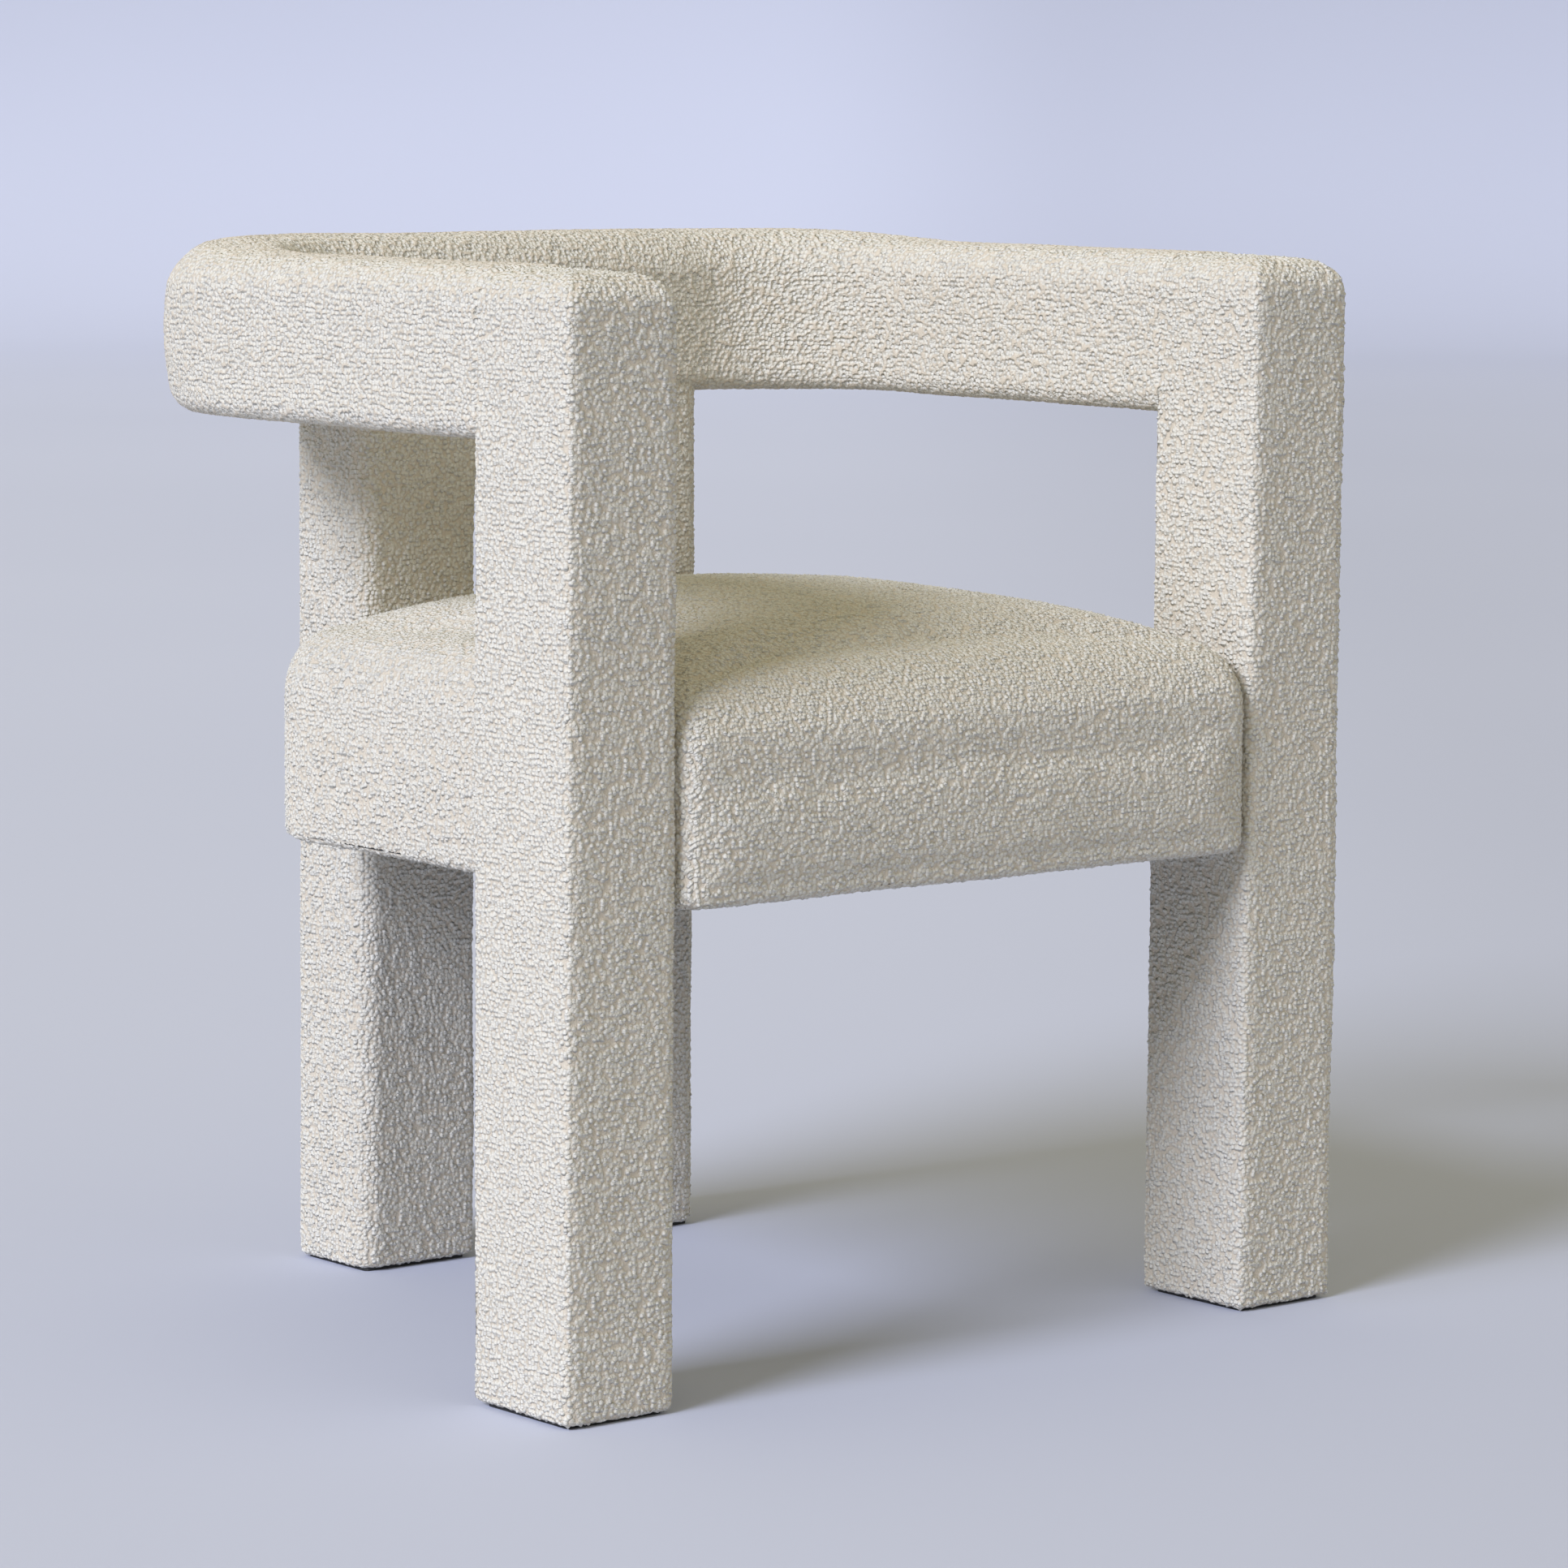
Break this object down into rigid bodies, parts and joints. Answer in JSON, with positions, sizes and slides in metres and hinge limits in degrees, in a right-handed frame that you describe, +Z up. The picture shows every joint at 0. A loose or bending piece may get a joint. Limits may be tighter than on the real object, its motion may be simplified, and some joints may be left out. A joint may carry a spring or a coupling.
{
  "type": "upholstered armchair",
  "caption": "Open-frame armchair covered all over in cream boucle, with slab front legs, paired rear legs, a U-shaped arm and back rail and a crowned fixed seat.",
  "frame": {"origin": "middle of the footprint on the floor", "axes": "+Z up, -Y the way the sitter faces, +X towards the sitter's left"},
  "size_m": [0.682, 0.5769, 0.735],
  "materials": {
    "boucle": "cream boucle weave with raised nubs, matt",
    "foam": "open-cell upholstery foam",
    "timber": "laminated birch, sanded, unfinished",
    "webbing": "woven elastic strap",
    "dust_cloth": "black non-woven lining",
    "black_nylon": "black nylon, matt",
    "zinc_steel": "zinc plated"
  },
  "bodies": {
    "root": {"arm_core_left": "timber", "arm_core_right": "timber", "arm_cover_left": "boucle", "arm_cover_right": "boucle", "arm_padding_left": "foam", "arm_padding_right": "foam", "back_core": "timber", "back_cover": "boucle", "back_padding": "foam", "corner_block_front_left": "timber", "corner_block_front_right": "timber", "corner_block_rear_left": "timber", "corner_block_rear_right": "timber", "corner_core_left": "timber", "corner_core_right": "timber", "front_leg_left_cover": "boucle", "front_leg_left_glide": "black_nylon", "front_leg_left_padding": "foam", "front_leg_left_post": "timber", "front_leg_right_cover": "boucle", "front_leg_right_glide": "black_nylon", "front_leg_right_padding": "foam", "front_leg_right_post": "timber", "rear_leg_left_cover": "boucle", "rear_leg_left_glide": "black_nylon", "rear_leg_left_padding": "foam", "rear_leg_left_post": "timber", "rear_leg_right_cover": "boucle", "rear_leg_right_glide": "black_nylon", "rear_leg_right_padding": "foam", "rear_leg_right_post": "timber", "seat_bolt_front_left_lower": "zinc_steel", "seat_bolt_front_left_upper": "zinc_steel", "seat_bolt_front_right_lower": "zinc_steel", "seat_bolt_front_right_upper": "zinc_steel", "seat_bolt_rear_left_lower": "zinc_steel", "seat_bolt_rear_left_upper": "zinc_steel", "seat_bolt_rear_right_lower": "zinc_steel", "seat_bolt_rear_right_upper": "zinc_steel", "seat_cover": "boucle", "seat_dust_cloth": "dust_cloth", "seat_foam": "foam", "seat_rail_front": "timber", "seat_rail_left": "timber", "seat_rail_rear": "timber", "seat_rail_right": "timber", "seat_side_padding": "foam", "webbing_across_1": "webbing", "webbing_across_2": "webbing", "webbing_across_3": "webbing", "webbing_lengthways_1": "webbing", "webbing_lengthways_2": "webbing", "webbing_lengthways_3": "webbing", "webbing_lengthways_4": "webbing"}
  },
  "joints": []
}
